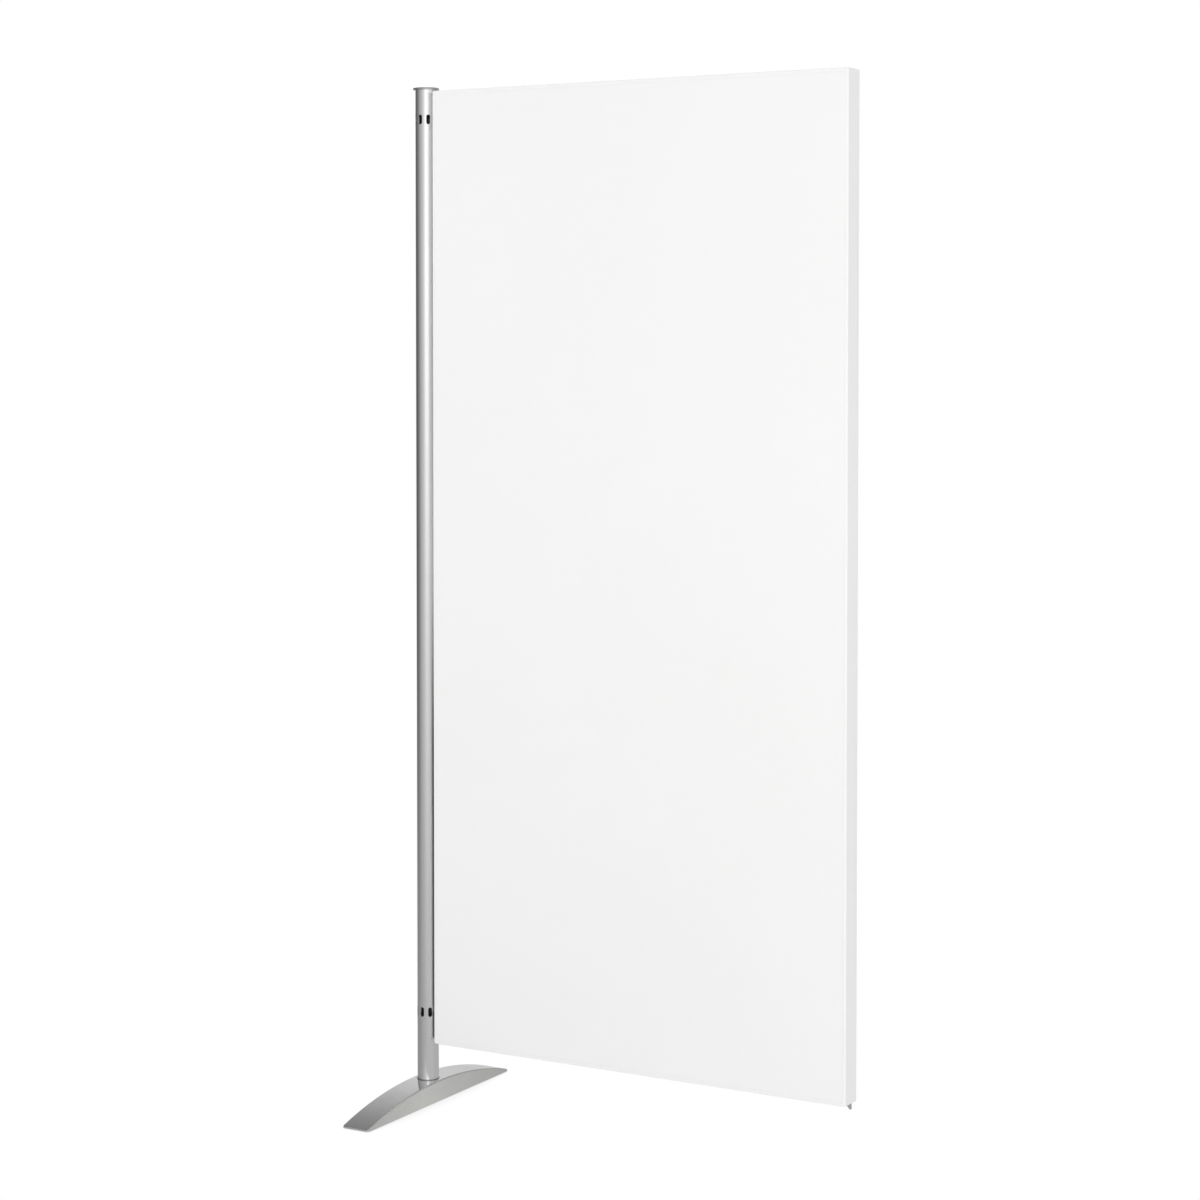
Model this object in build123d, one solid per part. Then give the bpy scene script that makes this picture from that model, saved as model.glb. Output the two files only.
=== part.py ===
from build123d import *
import math
import os

# Extension module of a partition-wall system, millimetres.
# Origin: the post axis on the floor.  +X runs from the post along the panel,
# +Y runs along the foot, +Z is up.

# Post
OVERALL_HEIGHT = 1798.0
POST_RADIUS = 19.0
POST_WALL = 2.0
POST_BORE_RADIUS = POST_RADIUS - POST_WALL
SLOTS_AROUND = 8
SLOT_WIDTH = 7.0
SLOT_HEIGHT = 17.0
UPPER_SLOT_LEVEL = 1742.0
LOWER_SLOT_LEVEL = 160.0
SLOT_LEVELS = (LOWER_SLOT_LEVEL, UPPER_SLOT_LEVEL)

# Cap pushed into the top of the post
CAP_RADIUS = 23.0
CAP_THICKNESS = 3.0
CAP_ARRIS = 1.0
CAP_PLUG_LENGTH = 20.0
CAP_PLUG_RADIUS = 16.4
CAP_PLUG_WALL = 2.0
CAP_RIB_RADIUS = 16.9
CAP_RIB_HEIGHT = 2.0
CAP_RIB_PITCH = 6.0
CAP_RIB_COUNT = 3
POST_TOP = OVERALL_HEIGHT - CAP_THICKNESS

# Foot casting: a shallow hollow arch on four pads
FOOT_LENGTH = 452.0
FOOT_WIDTH = 55.0
FOOT_CROWN = 38.0
FOOT_WALL = 4.0
FOOT_ROOF = 5.0
FOOT_TOE_HEIGHT = 3.0
FOOT_ARRIS = 2.5
FOOT_TOE_CORNER = 6.0
FOOT_CAVITY_LENGTH = 380.0
FOOT_RIB_THICKNESS = 3.0
FOOT_RIB_CLEARANCE = 9.0
FOOT_RIB_POSITIONS = (-140.0, -70.0, 70.0, 140.0)
BOSS_RADIUS = 17.0
BOSS_UNDERSIDE = 20.0
SPOT_FACE_RADIUS = 21.5
SPOT_FACE_DEPTH = 0.5
SEAT_LEVEL = FOOT_CROWN - SPOT_FACE_DEPTH

# Pads under the toes of the foot
PAD_RADIUS = 6.0
PAD_THICKNESS = 3.0
PAD_PROUD = 1.0
PAD_FIT = 0.2
PAD_X = 17.0
PAD_Y = 207.0
FOOT_UNDERSIDE = PAD_PROUD

# Ring between the foot and the post
RING_RADIUS = 20.0
RING_THICKNESS = 1.5
RING_SPIGOT_RADIUS = 16.8
RING_SPIGOT_WALL = 3.0
RING_SPIGOT_HEIGHT = 4.0
POST_BOTTOM = SEAT_LEVEL + RING_THICKNESS

# Plug fixed in the post, and the bolt and washer that hold the foot to it
PLUG_RADIUS = 16.95
PLUG_HEIGHT = 20.0
PLUG_GAP = 1.0
PLUG_CHAMFER = 0.6
PLUG_BOTTOM = POST_BOTTOM + RING_SPIGOT_HEIGHT + PLUG_GAP
BOLT_RADIUS = 5.0
BOLT_LENGTH = 45.0
BOLT_HEAD_HEIGHT = 6.4
BOLT_HEAD_ACROSS_FLATS = 17.0
BOLT_HEAD_BEVEL = 1.0
BOLT_END_CHAMFER = 1.0
BOLT_THREAD_FIT = 0.05
BOLT_HOLE_RADIUS = 5.5
WASHER_RADIUS = 15.0
WASHER_HOLE_RADIUS = 5.3
WASHER_THICKNESS = 2.5

# Panel outline
PANEL_LENGTH = 800.0
PANEL_THICKNESS = 45.0
PANEL_BOTTOM = 108.0
PANEL_TOP = 1790.0
PANEL_CORNER = 6.0
PANEL_UPRIGHT_ARRIS = 3.0
PANEL_BORDER_ARRIS = 1.0
PANEL_GAP = 8.0
PANEL_START = POST_RADIUS + PANEL_GAP
PANEL_END = PANEL_START + PANEL_LENGTH
PANEL_MIDDLE_X = (PANEL_START + PANEL_END) / 2
PANEL_MIDDLE_Z = (PANEL_BOTTOM + PANEL_TOP) / 2
PANEL_HEIGHT = PANEL_TOP - PANEL_BOTTOM

# Panel build-up
SHEET_THICKNESS = 3.0
LIPPING = 6.0
STILE_WIDTH = 60.0
RAIL_WIDTH = 50.0
CORE_THICKNESS = PANEL_THICKNESS - 2 * SHEET_THICKNESS
CELL_ACROSS_FLATS = 60.0
CELL_WALL = 1.5
INNER_START = PANEL_START + LIPPING
INNER_END = PANEL_END - LIPPING
INNER_BOTTOM = PANEL_BOTTOM + LIPPING
INNER_TOP = PANEL_TOP - LIPPING
CORE_START = INNER_START + STILE_WIDTH
CORE_END = INNER_END - STILE_WIDTH
CORE_BOTTOM = INNER_BOTTOM + RAIL_WIDTH
CORE_TOP = INNER_TOP - RAIL_WIDTH

# Steel plates let into the panel: two hooks at the post, one tab at the free end
PLATE_THICKNESS = 5.0
PLATE_FIT = 0.1
PLATE_CORNER = 1.0
HOOK_RECESS = 0.5
HOOK_BODY_START = PANEL_START + HOOK_RECESS
HOOK_BODY_END = HOOK_BODY_START + 50.0
HOOK_BODY_HALF_HEIGHT = 30.0
HOOK_SEAT_FIT = 0.03
HOOK_NECK_HEIGHT = 7.5
HOOK_NOSE_DROP = 5.5
HOOK_NOSE_START = 10.4
HOOK_NOSE_END = 16.4
TAB_BODY_LENGTH = 46.0
TAB_BODY_START = PANEL_END - TAB_BODY_LENGTH
TAB_BODY_HEIGHT = 50.0
TAB_DROP = 9.0
TAB_SLANT_LENGTH = 8.5
TAB_TIP_WIDTH = 1.2
TAB_LIPPING_GAP = 0.1

# Pins that hold the plates in the stiles
PIN_RADIUS = 3.0
PIN_FIT = 0.05
PIN_LENGTH = CORE_THICKNESS - 0.2
HOOK_PIN_OFFSETS = ((20.0, -18.0), (38.0, 18.0))
TAB_PIN_OFFSETS = ((10.0, 32.0), (30.0, 32.0))


def box_between(x_range, y_range, z_range):
    """Box between two corners, each range a (low, high) pair."""
    size = [high - low for low, high in (x_range, y_range, z_range)]
    centre = [(low + high) / 2 for low, high in (x_range, y_range, z_range)]
    return Pos(*centre) * Box(*size)


def disc(radius, bottom, height):
    """Upright cylinder on the post axis."""
    return Pos(0, 0, bottom) * extrude(Circle(radius), height)


def sleeve(outer_radius, inner_radius, bottom, height):
    """Upright tube on the post axis."""
    return Pos(0, 0, bottom) * extrude(Circle(outer_radius) - Circle(inner_radius), height)


def upright_plate(outline, thickness):
    """Plate in the panel's mid-plane from a closed list of (x, z) points."""
    face = make_face(Plane.XZ * Polyline(*outline, close=True))
    return extrude(face, thickness / 2, both=True)


def cross_pin(x, z, radius, length):
    """Cylinder through the panel's thickness, centred on the mid-plane."""
    return Pos(x, 0, z) * Rot(90, 0, 0) * Cylinder(radius, length)


# Post


def post_slot(level, angle):
    """Cutter for one upright slot through one wall of the post."""
    outline = Plane.YZ * (Rot(0, 0, 90) * SlotOverall(SLOT_HEIGHT, SLOT_WIDTH))
    cutter = extrude(outline, POST_RADIUS + POST_WALL)
    return Rot(0, 0, angle) * Pos(0, 0, level) * cutter


def post_tube():
    """Round tube with a ring of slots near each end."""
    tube = sleeve(POST_RADIUS, POST_BORE_RADIUS, POST_BOTTOM, POST_TOP - POST_BOTTOM)
    for level in SLOT_LEVELS:
        for index in range(SLOTS_AROUND):
            tube -= post_slot(level, index * 360.0 / SLOTS_AROUND)
    return tube


def post_cap():
    """Flat disc on a hollow plug with grip ribs."""
    flange = disc(CAP_RADIUS, POST_TOP, CAP_THICKNESS)
    flange = fillet(flange.edges().group_by(Axis.Z)[-1], CAP_ARRIS)
    plug_bottom = POST_TOP - CAP_PLUG_LENGTH
    plug_bore = CAP_PLUG_RADIUS - CAP_PLUG_WALL
    cap = flange + sleeve(CAP_PLUG_RADIUS, plug_bore, plug_bottom, CAP_PLUG_LENGTH)
    for index in range(CAP_RIB_COUNT):
        rib_bottom = plug_bottom + CAP_RIB_HEIGHT + index * CAP_RIB_PITCH
        cap += sleeve(CAP_RIB_RADIUS, plug_bore, rib_bottom, CAP_RIB_HEIGHT)
    return cap


def base_ring():
    """Flat ring under the tube with a short spigot inside it."""
    ring = sleeve(RING_RADIUS, BOLT_HOLE_RADIUS, SEAT_LEVEL, RING_THICKNESS)
    spigot_bore = RING_SPIGOT_RADIUS - RING_SPIGOT_WALL
    spigot_height = RING_THICKNESS + RING_SPIGOT_HEIGHT
    return ring + sleeve(RING_SPIGOT_RADIUS, spigot_bore, SEAT_LEVEL, spigot_height)


def tube_plug():
    """Steel plug in the foot of the tube, bored for the foot bolt."""
    bore = BOLT_RADIUS + BOLT_THREAD_FIT
    plug = sleeve(PLUG_RADIUS, bore, PLUG_BOTTOM, PLUG_HEIGHT)
    return chamfer(plug.edges().filter_by(GeomType.CIRCLE), PLUG_CHAMFER)


# Foot


def foot_bolt():
    """Hexagon-head bolt from below, through the foot into the plug."""
    head_top = BOSS_UNDERSIDE - WASHER_THICKNESS
    head_bottom = head_top - BOLT_HEAD_HEIGHT
    flat_radius = BOLT_HEAD_ACROSS_FLATS / 2
    corner_radius = flat_radius * 2 / math.sqrt(3)
    outline = RegularPolygon(flat_radius, 6, major_radius=False)
    turned = disc(corner_radius, head_bottom, BOLT_HEAD_HEIGHT)
    turned = chamfer(turned.edges().group_by(Axis.Z)[0], BOLT_HEAD_BEVEL)
    head = turned & (Pos(0, 0, head_bottom) * extrude(outline, BOLT_HEAD_HEIGHT))
    shank = disc(BOLT_RADIUS, head_top, BOLT_LENGTH)
    shank = chamfer(shank.edges().group_by(Axis.Z)[-1], BOLT_END_CHAMFER)
    return head + shank


def foot_washer():
    """Wide washer between the bolt head and the boss."""
    bottom = BOSS_UNDERSIDE - WASHER_THICKNESS
    return sleeve(WASHER_RADIUS, WASHER_HOLE_RADIUS, bottom, WASHER_THICKNESS)


def arch(half_length, toe_level, crown_level, half_width):
    """Solid with a flat underside and a circular top, seen along X."""
    toes = ((-half_length, toe_level), (half_length, toe_level))
    back = ThreePointArc(toes[0], (0, crown_level), toes[1])
    sides = Polyline(
        toes[1],
        (half_length, FOOT_UNDERSIDE),
        (-half_length, FOOT_UNDERSIDE),
        toes[0],
    )
    return extrude(make_face(Plane.YZ * (back + sides)), half_width, both=True)


def arch_level(y):
    """Height of the foot's curved top at a distance y from the post axis."""
    toe_level = FOOT_UNDERSIDE + FOOT_TOE_HEIGHT
    rise = FOOT_CROWN - toe_level
    radius = ((FOOT_LENGTH / 2) ** 2 + rise ** 2) / (2 * rise)
    return math.sqrt(radius ** 2 - y ** 2) - (radius - FOOT_CROWN)


def foot_body():
    """Outside shape of the foot with round toe corners and softened upper arrises."""
    toe_level = FOOT_UNDERSIDE + FOOT_TOE_HEIGHT
    body = arch(FOOT_LENGTH / 2, toe_level, FOOT_CROWN, FOOT_WIDTH / 2)
    body = fillet(body.edges().filter_by(Axis.Z), FOOT_TOE_CORNER)
    curved = body.edges().filter_by(GeomType.CIRCLE).group_by(SortBy.LENGTH)[-1]
    return fillet(curved, FOOT_ARRIS)


def foot_cavity():
    """Hollow under the foot, parallel to its curved top."""
    half_length = FOOT_CAVITY_LENGTH / 2
    end_level = arch_level(half_length) - FOOT_ROOF
    crown = FOOT_CROWN - FOOT_ROOF
    return arch(half_length, end_level, crown, FOOT_WIDTH / 2 - FOOT_WALL)


def foot_ribs(cavity):
    """Cross ribs and one long rib that fill part of the cavity."""
    half_length = FOOT_LENGTH / 2
    half_width = FOOT_WIDTH / 2
    half_rib = FOOT_RIB_THICKNESS / 2
    rib_levels = (FOOT_RIB_CLEARANCE, FOOT_CROWN)
    slabs = box_between((-half_rib, half_rib), (-half_length, half_length), rib_levels)
    for y in FOOT_RIB_POSITIONS:
        slabs += box_between((-half_width, half_width), (y - half_rib, y + half_rib), rib_levels)
    return cavity & slabs


def foot_casting():
    """Arched foot: hollow shell, ribs, bolt boss, seat and pad recesses."""
    cavity = foot_cavity()
    boss_space = disc(BOSS_RADIUS, FOOT_UNDERSIDE, BOSS_UNDERSIDE - FOOT_UNDERSIDE)
    boss = disc(BOSS_RADIUS, BOSS_UNDERSIDE, FOOT_CROWN - FOOT_ROOF / 2 - BOSS_UNDERSIDE)
    foot = foot_body() - cavity + foot_ribs(cavity) - boss_space + boss
    foot -= disc(SPOT_FACE_RADIUS, SEAT_LEVEL, SPOT_FACE_DEPTH + 1)
    foot -= disc(BOLT_HOLE_RADIUS, FOOT_UNDERSIDE, FOOT_CROWN)
    recess_depth = PAD_THICKNESS - PAD_PROUD
    for x in (-PAD_X, PAD_X):
        for y in (-PAD_Y, PAD_Y):
            foot -= Pos(x, y, 0) * disc(PAD_RADIUS + PAD_FIT, FOOT_UNDERSIDE, recess_depth)
    return foot


def foot_pads():
    """Four round pads, each a separate solid."""
    pads = []
    for x in (-PAD_X, PAD_X):
        for y in (-PAD_Y, PAD_Y):
            pads.append(Pos(x, y, 0) * disc(PAD_RADIUS, 0, PAD_THICKNESS))
    return Compound(children=pads)


# Panel skins, lippings, frame and core


def panel_plane():
    """Mid-plane of the panel, centred on it and facing its front."""
    return Plane((PANEL_MIDDLE_X, 0, PANEL_MIDDLE_Z), (1, 0, 0), (0, -1, 0))


def panel_sheet(side):
    """Face sheet on one side of the panel: side is -1 for front, +1 for rear."""
    depths = sorted((side * CORE_THICKNESS / 2, side * PANEL_THICKNESS / 2))
    return box_between((INNER_START, INNER_END), depths, (INNER_BOTTOM, INNER_TOP))


def panel_envelope():
    """Outside shape of the whole panel: rounded arrises, and round corners beside the post."""
    block = Box(PANEL_LENGTH, PANEL_THICKNESS, PANEL_HEIGHT)
    block = fillet(block.edges().filter_by(Axis.Z), PANEL_UPRIGHT_ARRIS)
    levels = block.edges().group_by(Axis.Z)
    block = fillet(levels[0] + levels[-1], PANEL_BORDER_ARRIS)
    outline = Rectangle(PANEL_LENGTH, PANEL_HEIGHT)
    outline = fillet(outline.vertices().group_by(Axis.X)[0], PANEL_CORNER)
    prism = extrude(panel_plane() * outline, PANEL_THICKNESS, both=True)
    return (Pos(PANEL_MIDDLE_X, 0, PANEL_MIDDLE_Z) * block) & prism


def lipping(x_range, z_range):
    """Strip of the panel's rounded border between two limits."""
    depths = (-PANEL_THICKNESS / 2, PANEL_THICKNESS / 2)
    return panel_envelope() & box_between(x_range, depths, z_range)


def plate_pocket(x_range, z_range):
    """Clearance slot for a steel plate in the mid-plane."""
    half_depth = PLATE_THICKNESS / 2 + PLATE_FIT
    return box_between(x_range, (-half_depth, half_depth), z_range)


def hook_pocket(level):
    """Slot for a hook plate at one slot level."""
    half_height = HOOK_BODY_HALF_HEIGHT + PLATE_FIT
    return plate_pocket(
        (PANEL_START - 1, HOOK_BODY_END + PLATE_FIT),
        (level - half_height, level + half_height),
    )


def tab_pocket():
    """Slot for the tab at the free end, open at the panel's underside."""
    return plate_pocket(
        (TAB_BODY_START - PLATE_FIT, INNER_END),
        (PANEL_BOTTOM - 1, PANEL_BOTTOM + TAB_BODY_HEIGHT + PLATE_FIT),
    )


def left_edge():
    """Lipping beside the post, slotted for the two hooks."""
    strip = lipping((PANEL_START, INNER_START), (PANEL_BOTTOM, PANEL_TOP))
    for level in SLOT_LEVELS:
        strip -= hook_pocket(level)
    return strip


def right_edge():
    """Lipping at the free end."""
    return lipping((INNER_END, PANEL_END), (PANEL_BOTTOM, PANEL_TOP))


def top_edge():
    """Lipping along the top, between the two upright ones."""
    return lipping((INNER_START, INNER_END), (INNER_TOP, PANEL_TOP))


def bottom_edge():
    """Lipping along the bottom, slotted for the tab."""
    return lipping((INNER_START, INNER_END), (PANEL_BOTTOM, INNER_BOTTOM)) - tab_pocket()


def frame_member(x_range, z_range):
    """Solid frame piece between the two face sheets."""
    return box_between(x_range, (-CORE_THICKNESS / 2, CORE_THICKNESS / 2), z_range)


def left_stile():
    """Upright frame piece with pockets and pin holes for the hooks."""
    stile = frame_member((INNER_START, CORE_START), (INNER_BOTTOM, INNER_TOP))
    for level in SLOT_LEVELS:
        stile -= hook_pocket(level)
    for x, z in hook_pin_places():
        stile -= cross_pin(x, z, PIN_RADIUS + PIN_FIT, PANEL_THICKNESS)
    return stile


def right_stile():
    """Upright frame piece with the pocket and pin holes for the tab."""
    stile = frame_member((CORE_END, INNER_END), (INNER_BOTTOM, INNER_TOP)) - tab_pocket()
    for x, z in tab_pin_places():
        stile -= cross_pin(x, z, PIN_RADIUS + PIN_FIT, PANEL_THICKNESS)
    return stile


def top_rail():
    """Frame piece under the top lipping."""
    return frame_member((CORE_START, CORE_END), (CORE_TOP, INNER_TOP))


def bottom_rail():
    """Frame piece above the bottom lipping."""
    return frame_member((CORE_START, CORE_END), (INNER_BOTTOM, CORE_BOTTOM))


def honeycomb_core():
    """Core block pierced by hexagonal cells in staggered columns."""
    pitch = CELL_ACROSS_FLATS + CELL_WALL
    cell_side = CELL_ACROSS_FLATS / math.sqrt(3)
    column_step = pitch * math.sqrt(3) / 2
    core_length = CORE_END - CORE_START
    core_height = CORE_TOP - CORE_BOTTOM
    columns = math.floor((core_length - 2 * cell_side - 2 * CELL_WALL) / column_step) + 1
    rows = math.floor((core_height - pitch / 2 - CELL_WALL) / pitch)
    cells = []
    for column in range(columns):
        stagger = pitch / 4 if column % 2 else -pitch / 4
        x = (column - (columns - 1) / 2) * column_step
        for row in range(rows):
            z = (row - (rows - 1) / 2) * pitch + stagger
            cells.append(Pos(x, z) * RegularPolygon(cell_side, 6))
    outline = Rectangle(core_length, core_height) - cells
    return extrude(panel_plane() * outline, CORE_THICKNESS / 2, both=True)


# Steel plates and their pins


def hook_pin_places():
    """(x, z) of every pin through the two hooks."""
    return [
        (HOOK_BODY_START + along, level + up)
        for level in SLOT_LEVELS
        for along, up in HOOK_PIN_OFFSETS
    ]


def tab_pin_places():
    """(x, z) of every pin through the tab."""
    return [(TAB_BODY_START + along, PANEL_BOTTOM + up) for along, up in TAB_PIN_OFFSETS]


def drilled(plate, places):
    """Plate with a pin hole at each place."""
    for x, z in places:
        plate -= cross_pin(x, z, PIN_RADIUS + PIN_FIT, PANEL_THICKNESS)
    return plate


def hook_seat_drop():
    """Depth below a slot's centre at which a plate comes to rest in its round end."""
    end_radius = SLOT_WIDTH / 2
    end_centre_drop = SLOT_HEIGHT / 2 - end_radius
    return end_centre_drop + math.sqrt(end_radius ** 2 - (PLATE_THICKNESS / 2) ** 2)


def hook_plate(level):
    """Flat hook: body in the stile, neck through the post's slot, nose hanging inside."""
    body_bottom = level - HOOK_BODY_HALF_HEIGHT
    body_top = level + HOOK_BODY_HALF_HEIGHT
    neck_bottom = level - hook_seat_drop() + HOOK_SEAT_FIT
    neck_top = neck_bottom + HOOK_NECK_HEIGHT
    nose_bottom = neck_bottom - HOOK_NOSE_DROP
    plate = upright_plate(
        (
            (HOOK_BODY_START, body_bottom),
            (HOOK_BODY_END, body_bottom),
            (HOOK_BODY_END, body_top),
            (HOOK_BODY_START, body_top),
            (HOOK_BODY_START, neck_top),
            (HOOK_NOSE_START, neck_top),
            (HOOK_NOSE_START, nose_bottom),
            (HOOK_NOSE_END, nose_bottom),
            (HOOK_NOSE_END, neck_bottom),
            (HOOK_BODY_START, neck_bottom),
        ),
        PLATE_THICKNESS,
    )
    plate = fillet(plate.edges().filter_by(Axis.Y), PLATE_CORNER)
    return drilled(plate, hook_pin_places())


def end_tab():
    """Flat tab at the free end: body in the stile, pointed tip below the panel."""
    body_top = PANEL_BOTTOM + TAB_BODY_HEIGHT
    tip_top = PANEL_BOTTOM - TAB_LIPPING_GAP
    tip_bottom = PANEL_BOTTOM - TAB_DROP
    plate = upright_plate(
        (
            (TAB_BODY_START, PANEL_BOTTOM),
            (PANEL_END - TAB_TIP_WIDTH - TAB_SLANT_LENGTH, PANEL_BOTTOM),
            (PANEL_END - TAB_TIP_WIDTH, tip_bottom),
            (PANEL_END, tip_bottom),
            (PANEL_END, tip_top),
            (INNER_END, tip_top),
            (INNER_END, body_top),
            (TAB_BODY_START, body_top),
        ),
        PLATE_THICKNESS,
    )
    return drilled(plate, tab_pin_places())


def plate_pins():
    """Pins across the stiles, each a separate solid."""
    places = hook_pin_places() + tab_pin_places()
    return Compound(children=[cross_pin(x, z, PIN_RADIUS, PIN_LENGTH) for x, z in places])


PARTS = {
    "post_tube": post_tube,
    "post_cap": post_cap,
    "base_ring": base_ring,
    "tube_plug": tube_plug,
    "foot_bolt": foot_bolt,
    "foot_washer": foot_washer,
    "foot_casting": foot_casting,
    "foot_pads": foot_pads,
    "front_sheet": lambda: panel_sheet(-1),
    "rear_sheet": lambda: panel_sheet(1),
    "left_edge": left_edge,
    "right_edge": right_edge,
    "top_edge": top_edge,
    "bottom_edge": bottom_edge,
    "left_stile": left_stile,
    "right_stile": right_stile,
    "top_rail": top_rail,
    "bottom_rail": bottom_rail,
    "honeycomb_core": honeycomb_core,
    "upper_hook": lambda: hook_plate(UPPER_SLOT_LEVEL),
    "lower_hook": lambda: hook_plate(LOWER_SLOT_LEVEL),
    "end_tab": end_tab,
    "plate_pins": plate_pins,
}

os.makedirs("parts", exist_ok=True)
for name, make in PARTS.items():
    export_step(make(), f"parts/{name}.step")
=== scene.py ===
import math

import bpy
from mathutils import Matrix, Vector


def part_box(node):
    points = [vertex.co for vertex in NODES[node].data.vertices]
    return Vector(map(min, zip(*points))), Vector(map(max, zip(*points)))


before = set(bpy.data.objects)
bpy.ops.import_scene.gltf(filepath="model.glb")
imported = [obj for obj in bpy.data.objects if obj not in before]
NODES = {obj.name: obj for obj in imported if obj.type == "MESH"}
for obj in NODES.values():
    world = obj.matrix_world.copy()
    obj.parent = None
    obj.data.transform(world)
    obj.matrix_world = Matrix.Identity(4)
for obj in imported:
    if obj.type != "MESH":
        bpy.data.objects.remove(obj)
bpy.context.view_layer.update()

# Camera: place and far limit in metres, heading to the left of +Y and tilt below level in degrees.
# Its lens shift holds while it stands within SAME_PLACE metres of its own place.
CAMERA_PLACE = (2.637, -3.954, 1.338)
CAMERA_HEADING = 30.0
CAMERA_TILT = 1.94
CAMERA_LENS_MM = 80.35
CAMERA_SHIFT = -0.1333
CAMERA_FAR_LIMIT = 200.0
SAME_PLACE = 0.001

# Floor, in metres: half its side, its drop below the pads and how far off an object still darkens it
# with painted shadow.
FLOOR_HALF_SIZE = 40.0
FLOOR_GAP = 0.0002
FLOOR_SHADE_REACH = 0.05

# Softboxes: name, place and aim point in metres, side in metres, power in watts.
SOFTBOXES = (
    ("key", (3.2, -2.8, 1.7), (0.45, 0.0, 0.90), 2.5, 72.0),
    ("fill", (-2.6, -1.4, 2.2), (0.0, 0.0, 1.2), 1.2, 40.0),
    ("rear", (0.2, 3.8, 1.9), (0.4, 0.0, 0.90), 2.5, 45.0),
)

# The room that the metal mirrors, as grey levels by turn round the object.  Turn 0 is straight
# behind it as the camera sees it, 0.25 to its left, 0.5 towards the camera, 0.75 to its right.
EYE_LEVEL = [
    (0.00, 0.64), (0.05, 0.50), (0.12, 0.09), (0.20, 0.13), (0.25, 0.22), (0.28, 0.32),
    (0.32, 0.46), (0.36, 0.56), (0.41, 0.74), (0.45, 1.05), (0.48, 1.50), (0.53, 1.50),
    (0.56, 1.30), (0.60, 1.20), (0.65, 1.00), (0.72, 0.50), (0.90, 0.42), (1.00, 0.64),
]
UPPER_WALLS = [
    (0.00, 0.64), (0.05, 0.50), (0.12, 0.20), (0.25, 0.38), (0.47, 0.62), (0.485, 1.40),
    (0.505, 1.40), (0.52, 0.62), (0.75, 0.45), (1.00, 0.64),
]
LOWER_WALLS = [
    (0.00, 0.64), (0.05, 0.55), (0.12, 0.10), (0.22, 0.14), (0.28, 0.28), (0.32, 0.44),
    (0.38, 0.56), (0.45, 0.72), (0.50, 0.76), (0.58, 0.60), (0.75, 0.52), (1.00, 0.62),
]
GROUND = [
    (0.00, 0.62), (0.06, 0.50), (0.14, 0.34), (0.30, 0.40), (0.50, 0.46), (0.62, 0.55),
    (0.75, 0.50), (0.90, 0.50), (1.00, 0.62),
]
# Factor on the first two lists, by the upward part of the direction, where 1 is straight up.
OVERHEAD = [
    (0.00, 1.00), (0.15, 1.08), (0.28, 1.15), (0.42, 1.02), (0.50, 0.88), (0.60, 0.66),
    (0.70, 0.44), (0.85, 0.50), (1.00, 0.60),
]

PANEL_WHITE = 0.775

# Painted shade on the panel's edge beside the post, standing in for the shadow in the narrow gap: how
# near the post has to be and the heights between which the painted shade thins out, in metres.
GAP_SHADE_REACH = 0.02
GAP_SHADE_FULL_BELOW = 0.65
GAP_SHADE_NONE_ABOVE = 0.92

STEEL_FITTINGS = (
    "upper_hook", "lower_hook", "end_tab", "plate_pins", "tube_plug", "foot_bolt", "foot_washer",
)


# Node-tree helpers.  Each takes a tree, and all but link return a node or an output socket.


def link(tree, value, socket):
    """Feeds a socket from another socket or from a plain value."""
    if isinstance(value, bpy.types.NodeSocket):
        tree.links.new(value, socket)
    else:
        socket.default_value = value


def add(tree, kind, entries=None, **settings):
    """New node with some of its properties set, then some of its inputs fed."""
    node = tree.nodes.new(kind)
    for name, value in settings.items():
        setattr(node, name, value)
    for name, value in (entries or {}).items():
        link(tree, value, node.inputs[name])
    return node


def math_node(tree, operation, *values):
    """Number from one, two or three numbers."""
    node = add(tree, "ShaderNodeMath", operation=operation)
    for value, socket in zip(values, node.inputs):
        link(tree, value, socket)
    return node.outputs["Value"]


def vector_node(tree, operation, *vectors, out="Vector"):
    """Vector or number from one or two vectors."""
    node = add(tree, "ShaderNodeVectorMath", operation=operation)
    for vector, socket in zip(vectors, node.inputs):
        link(tree, vector, socket)
    return node.outputs[out]


def component(tree, vector, axis):
    """One component of a vector."""
    return add(tree, "ShaderNodeSeparateXYZ", {"Vector": vector}).outputs[axis]


def place(tree, scale=(1, 1, 1)):
    """Point in the piece's own metres.  A small scale along an axis draws a pattern out along it."""
    coordinates = add(tree, "ShaderNodeTexCoord").outputs["Object"]
    return vector_node(tree, "MULTIPLY", coordinates, scale)


def own_normal(tree):
    """Surface normal in the piece's own axes."""
    normal = add(tree, "ShaderNodeNewGeometry").outputs["Normal"]
    turned = add(tree, "ShaderNodeVectorTransform", {"Vector": normal}, vector_type="NORMAL")
    turned.convert_from = "WORLD"
    turned.convert_to = "OBJECT"
    return turned.outputs["Vector"]


def openness(tree, reach):
    """1 where nothing stands within reach, in metres, and less in tight places."""
    return add(tree, "ShaderNodeAmbientOcclusion", {"Distance": reach}, samples=16).outputs["AO"]


def noise(tree, point, scale, detail=3.0, roughness=0.5):
    """Soft random field between 0 and 1."""
    entries = {"Vector": point, "Scale": scale, "Detail": detail, "Roughness": roughness}
    return add(tree, "ShaderNodeTexNoise", entries).outputs["Fac"]


def span(tree, value, low, high, start=0.0, end=1.0):
    """Value moved from the range start..end to the range low..high, clamped."""
    entries = {"Value": value, "From Min": start, "From Max": end, "To Min": low, "To Max": high}
    return add(tree, "ShaderNodeMapRange", entries, clamp=True).outputs["Result"]


def fade(tree, value, start, end):
    """0 where the value is at start, growing to 1 where it is at end, clamped."""
    return span(tree, value, 0.0, 1.0, start, end)


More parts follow.
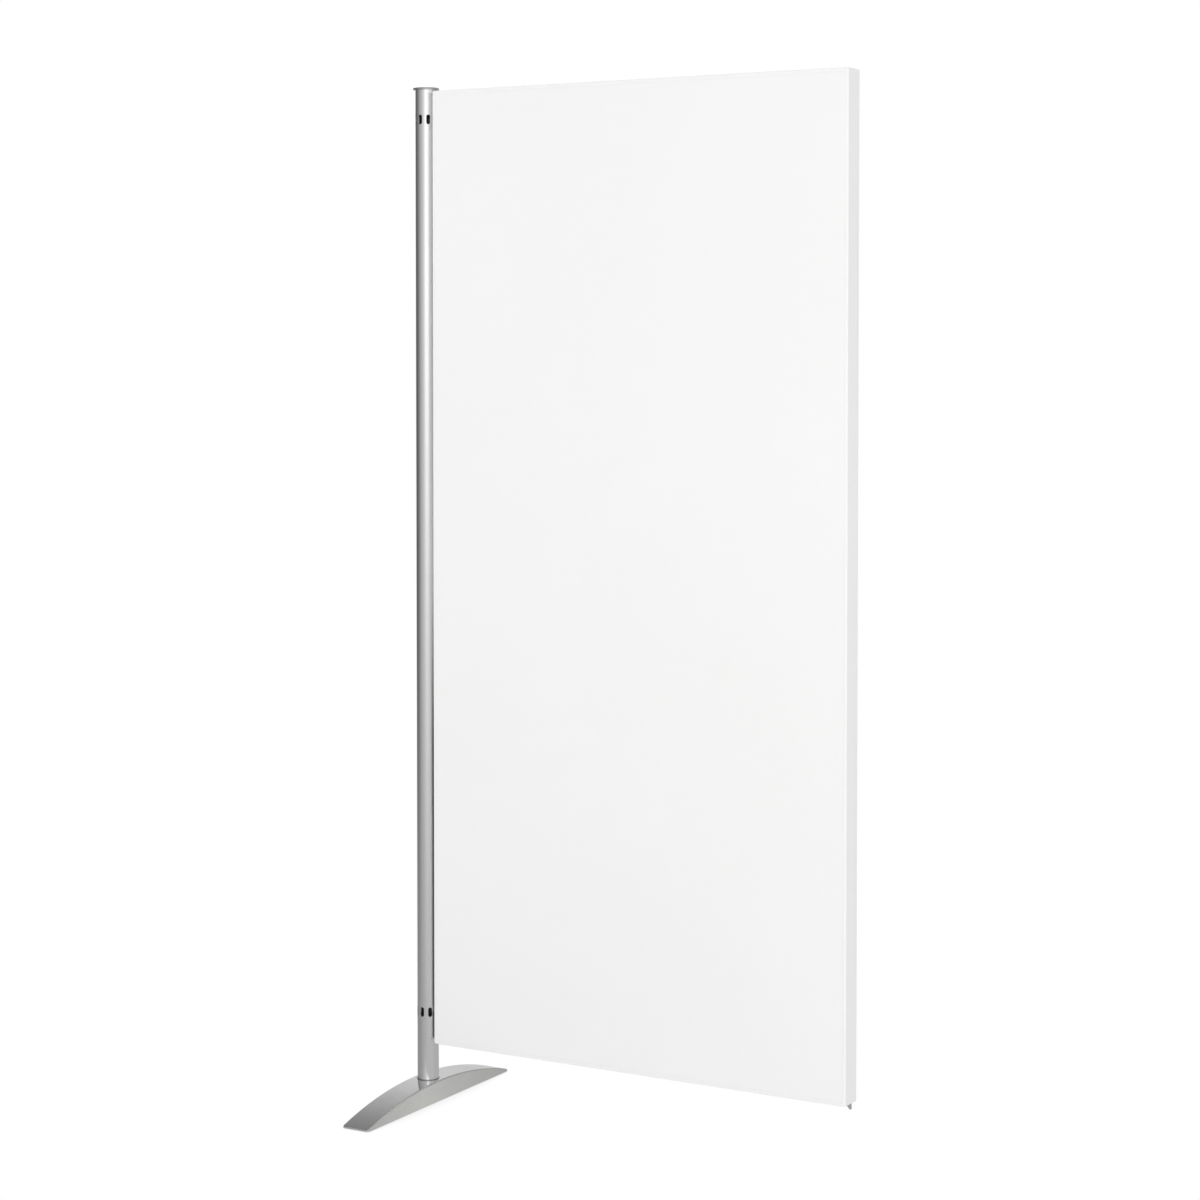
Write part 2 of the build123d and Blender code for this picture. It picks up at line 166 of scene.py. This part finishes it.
def ramp(tree, value, stops):
    """Grey level or colour read off a list of (position, level or colour)."""
    node = add(tree, "ShaderNodeValToRGB", {"Fac": value})
    points = node.color_ramp.elements
    while len(points) < len(stops):
        points.new(0.5)
    for point, (position, level) in zip(points, stops):
        point.position = position
        colour = (level,) * 3 if isinstance(level, float) else level
        point.color = (*colour, 1.0)
    return node.outputs["Color"]


def mix_colour(tree, factor, first, second, blend_type="MIX"):
    """Blend of two colours."""
    entries = {"Factor": factor}
    for name, colour in (("A", first), ("B", second)):
        entries[name] = (*colour, 1.0) if isinstance(colour, tuple) else colour
    return add(tree, "ShaderNodeMix", entries, data_type="RGBA", blend_type=blend_type).outputs["Result"]


def mix_number(tree, factor, first, second):
    """Blend of two numbers."""
    entries = {"Factor": factor, "A": first, "B": second}
    return add(tree, "ShaderNodeMix", entries, data_type="FLOAT").outputs["Result"]


def soft_edge(tree, radius):
    """Normal that rounds sharp edges by a small radius in metres."""
    return add(tree, "ShaderNodeBevel", {"Radius": radius}, samples=6).outputs["Normal"]


def bump(tree, height, distance, strength, normal=None):
    """Surface normal disturbed by a height field, distance in metres."""
    entries = {"Height": height, "Distance": distance, "Strength": strength}
    if normal is not None:
        entries["Normal"] = normal
    return add(tree, "ShaderNodeBump", entries).outputs["Normal"]


# Materials.  The scale of a noise is per metre.


def new_material(name, **values):
    """Material with some of its shader's inputs set, and its tree."""
    material = bpy.data.materials.new(name)
    material.use_nodes = True
    shader = material.node_tree.nodes["Principled BSDF"]
    for key, value in values.items():
        shader.inputs[key].default_value = value
    return material, material.node_tree


def surface(material, colour, roughness, normal):
    """Feeds a material's colour, roughness and normal, and returns the material."""
    shader = material.node_tree.nodes["Principled BSDF"]
    for name, value in (("Base Color", colour), ("Roughness", roughness), ("Normal", normal)):
        link(material.node_tree, value, shader.inputs[name])
    return material


def satin_white(name):
    """Sprayed satin white: faint orange peel, uneven sheen, hardly any colour change."""
    material, tree = new_material(name, IOR=1.46)
    point = place(tree)
    clouds = noise(tree, point, scale=2.2, detail=4.0)
    warm = (PANEL_WHITE, PANEL_WHITE, PANEL_WHITE * 0.995)
    light = (PANEL_WHITE * 1.012,) * 3
    colour = ramp(tree, clouds, [(0.3, warm), (0.7, light)])
    sheen = noise(tree, point, scale=60.0, detail=4.0)
    roughness = span(tree, sheen, low=0.36, high=0.46)
    peel = noise(tree, point, scale=900.0, detail=2.0)
    edge = soft_edge(tree, radius=0.0006)
    normal = bump(tree, peel, distance=0.00006, strength=0.35, normal=edge)
    return surface(material, colour, roughness, normal)


def add_painted_gap_shade(material):
    """Adds painted shade to a material where a neighbour stands close, darkest towards the floor."""
    tree = material.node_tree
    colour = tree.nodes["Principled BSDF"].inputs["Base Color"]
    unshaded = colour.links[0].from_socket
    deep = fade(tree, openness(tree, GAP_SHADE_REACH), start=0.53, end=0.42)
    low = fade(tree, component(tree, place(tree), "Z"), start=GAP_SHADE_NONE_ABOVE, end=GAP_SHADE_FULL_BELOW)
    # Painted shade: darkest deep in the gap beside the post and lower down.
    painted_darkness = math_node(tree, "MULTIPLY", deep, low)
    link(tree, mix_colour(tree, painted_darkness, unshaded, (0.03, 0.03, 0.03)), colour)
    return material


def satin_tube():
    """Satin metal tube: fine lines along its length, slightly uneven sheen, dull bore darkened with
    painted shade.
    """
    material, tree = new_material("satin_tube", Metallic=1.0)
    lines = noise(tree, place(tree, (1, 1, 0.004)), scale=2600.0, detail=3.0, roughness=0.6)
    clouds = noise(tree, place(tree, (1, 1, 0.25)), scale=30.0, detail=4.0)
    from_axis = place(tree, (1, 1, 0))
    outward = vector_node(tree, "DOT_PRODUCT", from_axis, own_normal(tree), out="Value")
    bore = fade(tree, outward, start=0.0, end=-0.012)
    polished = ramp(tree, lines, [(0.25, 0.76), (0.75, 0.84)])
    # Painted shade: the bore is coloured dark.
    colour = mix_colour(tree, bore, polished, (0.16, 0.16, 0.16))
    patches = span(tree, clouds, low=0.20, high=0.27)
    streaks = span(tree, lines, low=-0.03, high=0.03)
    sheen = math_node(tree, "ADD", patches, streaks)
    roughness = math_node(tree, "MULTIPLY_ADD", bore, 0.4, sheen)
    edge = soft_edge(tree, radius=0.0004)
    normal = bump(tree, lines, distance=0.00002, strength=0.4, normal=edge)
    return surface(material, colour, roughness, normal)


def turned_metal(name, shade):
    """Turned metal: fine rings round the post's axis."""
    material, tree = new_material(name, Metallic=1.0)
    radius = vector_node(tree, "LENGTH", place(tree, (1, 1, 0)), out="Value")
    rings = add(tree, "ShaderNodeTexNoise", {"Scale": 3000.0}, noise_dimensions="1D")
    link(tree, radius, rings.inputs["W"])
    grooves = rings.outputs["Fac"]
    colour = ramp(tree, grooves, [(0.3, shade * 0.93), (0.7, shade * 1.07)])
    roughness = span(tree, grooves, low=0.26, high=0.36)
    edge = soft_edge(tree, radius=0.0004)
    normal = bump(tree, grooves, distance=0.00003, strength=0.4, normal=edge)
    return surface(material, colour, roughness, normal)


def casting_zones(tree):
    """Masks of the top, the arrises and the underside, told apart by the upward part of the normal."""
    level = component(tree, own_normal(tree), "Z")
    top = fade(tree, level, start=0.75, end=0.95)
    above_sides = fade(tree, level, start=0.06, end=0.26)
    below_top = fade(tree, level, start=0.93, end=0.70)
    underside = fade(tree, level, start=-0.35, end=-0.6)
    return top, math_node(tree, "MULTIPLY", above_sides, below_top), underside


def casting_colour(tree, clouds, top, arris, underside):
    """Pale sides with painted shading that darkens them unevenly from toe to toe, grey top, arrises
    darkened with painted shade, darker underside.
    """
    lowest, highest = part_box("foot_casting")
    along = fade(tree, component(tree, place(tree), "Y"), start=lowest.y, end=highest.y)
    # Painted shading along the sides: lightest near the post, darker towards each toe.
    painted_side_shading = ramp(tree, along, [(0.0, 0.80), (0.37, 0.98), (0.62, 0.87), (1.0, 0.72)])
    side = ramp(tree, clouds, [(0.3, (0.96, 0.97, 0.94)), (0.7, (1.0, 1.0, 0.965))])
    side = mix_colour(tree, 1.0, side, painted_side_shading, "MULTIPLY")
    colour = mix_colour(tree, top, side, ramp(tree, clouds, [(0.3, 0.76), (0.7, 0.81)]))
    # Painted shade on the arrises.
    colour = mix_colour(tree, arris, colour, (0.73, 0.73, 0.71))
    return mix_colour(tree, underside, colour, (0.42, 0.42, 0.41))


def casting_roughness(tree, clouds, grain, top, arris, underside):
    """Satin sides, polished top, dull arrises and underside."""
    side_sheen = span(tree, grain, low=0.32, high=0.42)
    top_sheen = span(tree, clouds, low=0.05, high=0.09)
    sheen = mix_number(tree, top, side_sheen, top_sheen)
    underside_dulling = math_node(tree, "MULTIPLY", underside, 0.25)
    dulling = math_node(tree, "MULTIPLY_ADD", arris, 0.40, underside_dulling)
    return math_node(tree, "ADD", dulling, sheen)


def polished_casting():
    """Polished casting: bright top with a slight wave, satin sides with a fine grain."""
    material, tree = new_material("polished_casting", Metallic=1.0)
    point = place(tree)
    clouds = noise(tree, point, scale=45.0, detail=4.0)
    grain = noise(tree, point, scale=1400.0, detail=2.0)
    top, arris, underside = casting_zones(tree)
    colour = casting_colour(tree, clouds, top, arris, underside)
    roughness = casting_roughness(tree, clouds, grain, top, arris, underside)
    wave = bump(tree, clouds, distance=0.00012, strength=0.5)
    grain_strength = span(tree, top, low=0.3, high=0.03)
    normal = bump(tree, grain, distance=0.00004, strength=grain_strength, normal=wave)
    return surface(material, colour, roughness, normal)


def moulded(name, shade, sheen):
    """Moulded plastic or rubber: fine spark grain and dusty patches."""
    material, tree = new_material(name, IOR=1.5)
    point = place(tree)
    dust = noise(tree, point, scale=120.0, detail=5.0)
    colour = ramp(tree, dust, [(0.35, shade), (0.75, shade * 1.6)])
    grain = noise(tree, point, scale=2500.0, detail=2.0)
    roughness = span(tree, grain, low=sheen, high=sheen + 0.12)
    edge = soft_edge(tree, radius=0.0003)
    normal = bump(tree, grain, distance=0.00006, strength=0.5, normal=edge)
    return surface(material, colour, roughness, normal)


def zinc_steel():
    """Zinc-plated steel: small patches of tone, faint rolling lines."""
    material, tree = new_material("zinc_steel", Metallic=1.0)
    point = place(tree)
    patches = add(tree, "ShaderNodeTexVoronoi", {"Vector": point, "Scale": 350.0}, feature="SMOOTH_F1")
    tone = noise(tree, point, scale=140.0, detail=3.0)
    colour = ramp(tree, tone, [(0.3, (0.66, 0.67, 0.69)), (0.7, (0.74, 0.735, 0.71))])
    roughness = span(tree, patches.outputs["Distance"], low=0.28, high=0.42)
    lines = noise(tree, place(tree, (1, 1, 0.03)), scale=1500.0, detail=2.0)
    edge = soft_edge(tree, radius=0.0004)
    normal = bump(tree, lines, distance=0.00003, strength=0.5, normal=edge)
    return surface(material, colour, roughness, normal)


def softwood(name, scale):
    """Sawn softwood with its grain drawn out along one axis."""
    material, tree = new_material(name)
    point = place(tree, scale)
    shape = {"Vector": point, "Scale": 40.0, "Distortion": 6.0, "Detail": 3.0}
    rings = add(tree, "ShaderNodeTexWave", shape, wave_type="RINGS", rings_direction="SPHERICAL")
    fibres = noise(tree, point, scale=900.0, detail=3.0)
    growth = ramp(tree, rings.outputs["Fac"], [(0.2, (0.66, 0.48, 0.29)), (0.9, (0.50, 0.32, 0.17))])
    colour = mix_colour(tree, span(tree, fibres, low=0.0, high=0.35), growth, (0.78, 0.62, 0.42))
    roughness = span(tree, fibres, low=0.6, high=0.8)
    normal = bump(tree, fibres, distance=0.0002, strength=0.5)
    return surface(material, colour, roughness, normal)


def kraft_paper():
    """Brown paper with short fibres."""
    material, tree = new_material("kraft_paper")
    fibres = noise(tree, place(tree, (1, 1, 0.3)), scale=700.0, detail=5.0, roughness=0.7)
    colour = ramp(tree, fibres, [(0.3, (0.45, 0.32, 0.19)), (0.7, (0.58, 0.43, 0.27))])
    normal = bump(tree, fibres, distance=0.0001, strength=0.6)
    return surface(material, colour, 0.85, normal)


def dress(material, *names):
    """Gives every named CAD node one material."""
    for name in names:
        NODES[name].data.materials.clear()
        NODES[name].data.materials.append(material)


def dress_all():
    """Materials of every CAD node."""
    dress(satin_white("white_face"), "front_sheet", "rear_sheet")
    dress(satin_white("white_lipping"), "right_edge", "top_edge", "bottom_edge")
    # The edge beside the post carries painted shade standing in for the shadow in the gap.
    dress(add_painted_gap_shade(satin_white("gap_shade_lipping")), "left_edge")
    dress(satin_tube(), "post_tube")
    dress(turned_metal("turned_cap", shade=0.50), "post_cap")
    dress(turned_metal("turned_ring", shade=0.42), "base_ring")
    dress(polished_casting(), "foot_casting")
    dress(moulded("pad_rubber", shade=0.03, sheen=0.70), "foot_pads")
    dress(zinc_steel(), *STEEL_FITTINGS)
    dress(softwood("stile_wood", scale=(1, 1, 0.06)), "left_stile", "right_stile")
    dress(softwood("rail_wood", scale=(0.06, 1, 1)), "top_rail", "bottom_rail")
    dress(kraft_paper(), "honeycomb_core")


# Studio


def mirrored_room(tree, direction):
    """Grey level of the room that the metal mirrors, in one direction."""
    heading = math.radians(CAMERA_HEADING)
    towards_camera = (math.sin(heading), -math.cos(heading), 0.0)
    camera_right = (math.cos(heading), math.sin(heading), 0.0)
    ahead = vector_node(tree, "DOT_PRODUCT", direction, towards_camera, out="Value")
    right = vector_node(tree, "DOT_PRODUCT", direction, camera_right, out="Value")
    turn = fade(tree, math_node(tree, "ARCTAN2", right, ahead), start=-math.pi, end=math.pi)
    rise = component(tree, direction, "Z")
    high = fade(tree, rise, start=0.10, end=0.22)
    walls = mix_colour(tree, high, ramp(tree, turn, EYE_LEVEL), ramp(tree, turn, UPPER_WALLS))
    room = mix_colour(tree, 1.0, walls, ramp(tree, rise, OVERHEAD), "MULTIPLY")
    low = fade(tree, rise, start=0.0, end=-0.11)
    room = mix_colour(tree, low, room, ramp(tree, turn, LOWER_WALLS))
    lowest = fade(tree, rise, start=-0.13, end=-0.24)
    return mix_colour(tree, lowest, room, ramp(tree, turn, GROUND))


def floor_material():
    """White to the camera with a painted shadow under the object, the room to the metal, matt to the
    rest.
    """
    material = bpy.data.materials.new("floor_white")
    material.use_nodes = True
    tree = material.node_tree
    tree.nodes.clear()
    rays = add(tree, "ShaderNodeLightPath").outputs
    # Painted contact shadow, darker where an object stands near.
    shade = ramp(tree, openness(tree, FLOOR_SHADE_REACH), [(0.0, 0.70), (0.80, 1.0)])
    back_along_ray = add(tree, "ShaderNodeNewGeometry").outputs["Incoming"]
    mirrored = mirrored_room(tree, vector_node(tree, "MULTIPLY", back_along_ray, (-1, -1, -1)))
    seen = mix_colour(tree, rays["Is Camera Ray"], mirrored, shade)
    glow = add(tree, "ShaderNodeEmission", {"Color": seen})
    matt = add(tree, "ShaderNodeBsdfDiffuse", {"Color": (0.8, 0.8, 0.8, 1.0)})
    glowing = math_node(tree, "MAXIMUM", rays["Is Camera Ray"], rays["Is Glossy Ray"])
    either = add(tree, "ShaderNodeMixShader", {"Fac": glowing})
    for shader, socket in zip((matt, glow), either.inputs[1:]):
        link(tree, shader.outputs[0], socket)
    add(tree, "ShaderNodeOutputMaterial", {"Surface": either.outputs["Shader"]})
    return material


def studio_floor():
    """Wide flat floor just under the pads."""
    mesh = bpy.data.meshes.new("floor")
    half = FLOOR_HALF_SIZE
    corners = [(-half, -half, 0), (half, -half, 0), (half, half, 0), (-half, half, 0)]
    mesh.from_pydata(corners, [], [(0, 1, 2, 3)])
    mesh.materials.append(floor_material())
    floor = bpy.data.objects.new("floor", mesh)
    floor.location.z = -FLOOR_GAP
    bpy.context.scene.collection.objects.link(floor)


def studio_world():
    """White to the camera, the mirrored room to the metal, a soft sky to everything else."""
    world = bpy.data.worlds.new("studio")
    world.use_nodes = True
    bpy.context.scene.world = world
    tree = world.node_tree
    tree.nodes.clear()
    direction = add(tree, "ShaderNodeTexCoord").outputs["Generated"]
    rays = add(tree, "ShaderNodeLightPath").outputs
    sky = ramp(tree, component(tree, direction, "Z"), [(0.0, 0.88), (0.5, 0.80), (1.0, 0.50)])
    unseen = mix_colour(tree, rays["Is Glossy Ray"], sky, mirrored_room(tree, direction))
    colour = mix_colour(tree, rays["Is Camera Ray"], unseen, (1.0, 1.0, 1.0))
    background = add(tree, "ShaderNodeBackground", {"Color": colour})
    add(tree, "ShaderNodeOutputWorld", {"Surface": background.outputs["Background"]})


def softbox(name, place_at, aim_at, side, power):
    """Square area light that the metal doesn't mirror."""
    lamp = bpy.data.lights.new(name, "AREA")
    lamp.size = side
    lamp.energy = power
    light = bpy.data.objects.new(name, lamp)
    light.location = place_at
    light.rotation_mode = "QUATERNION"
    light.rotation_quaternion = (Vector(aim_at) - Vector(place_at)).to_track_quat("-Z", "Y")
    light.visible_glossy = False
    light.visible_camera = False
    bpy.context.scene.collection.objects.link(light)


def studio_camera():
    """Camera with a lens shift that holds only while it stands at its own place."""
    lens = bpy.data.cameras.new("camera")
    lens.lens = CAMERA_LENS_MM
    lens.clip_end = CAMERA_FAR_LIMIT
    camera = bpy.data.objects.new("camera", lens)
    camera.location = CAMERA_PLACE
    camera.rotation_euler = (math.radians(90 - CAMERA_TILT), 0, math.radians(CAMERA_HEADING))
    bpy.context.scene.collection.objects.link(camera)
    bpy.context.scene.camera = camera
    driver = lens.driver_add("shift_y").driver
    driver.type = "SCRIPTED"
    across = driver.variables.new()
    across.name = "across"
    across.type = "TRANSFORMS"
    across.targets[0].id = camera
    across.targets[0].transform_type = "LOC_X"
    driver.expression = f"{CAMERA_SHIFT} if abs(across - {CAMERA_PLACE[0]}) < {SAME_PLACE} else 0.0"


dress_all()
studio_floor()
studio_world()
for settings in SOFTBOXES:
    softbox(*settings)
studio_camera()
bpy.context.scene.view_settings.view_transform = "Standard"
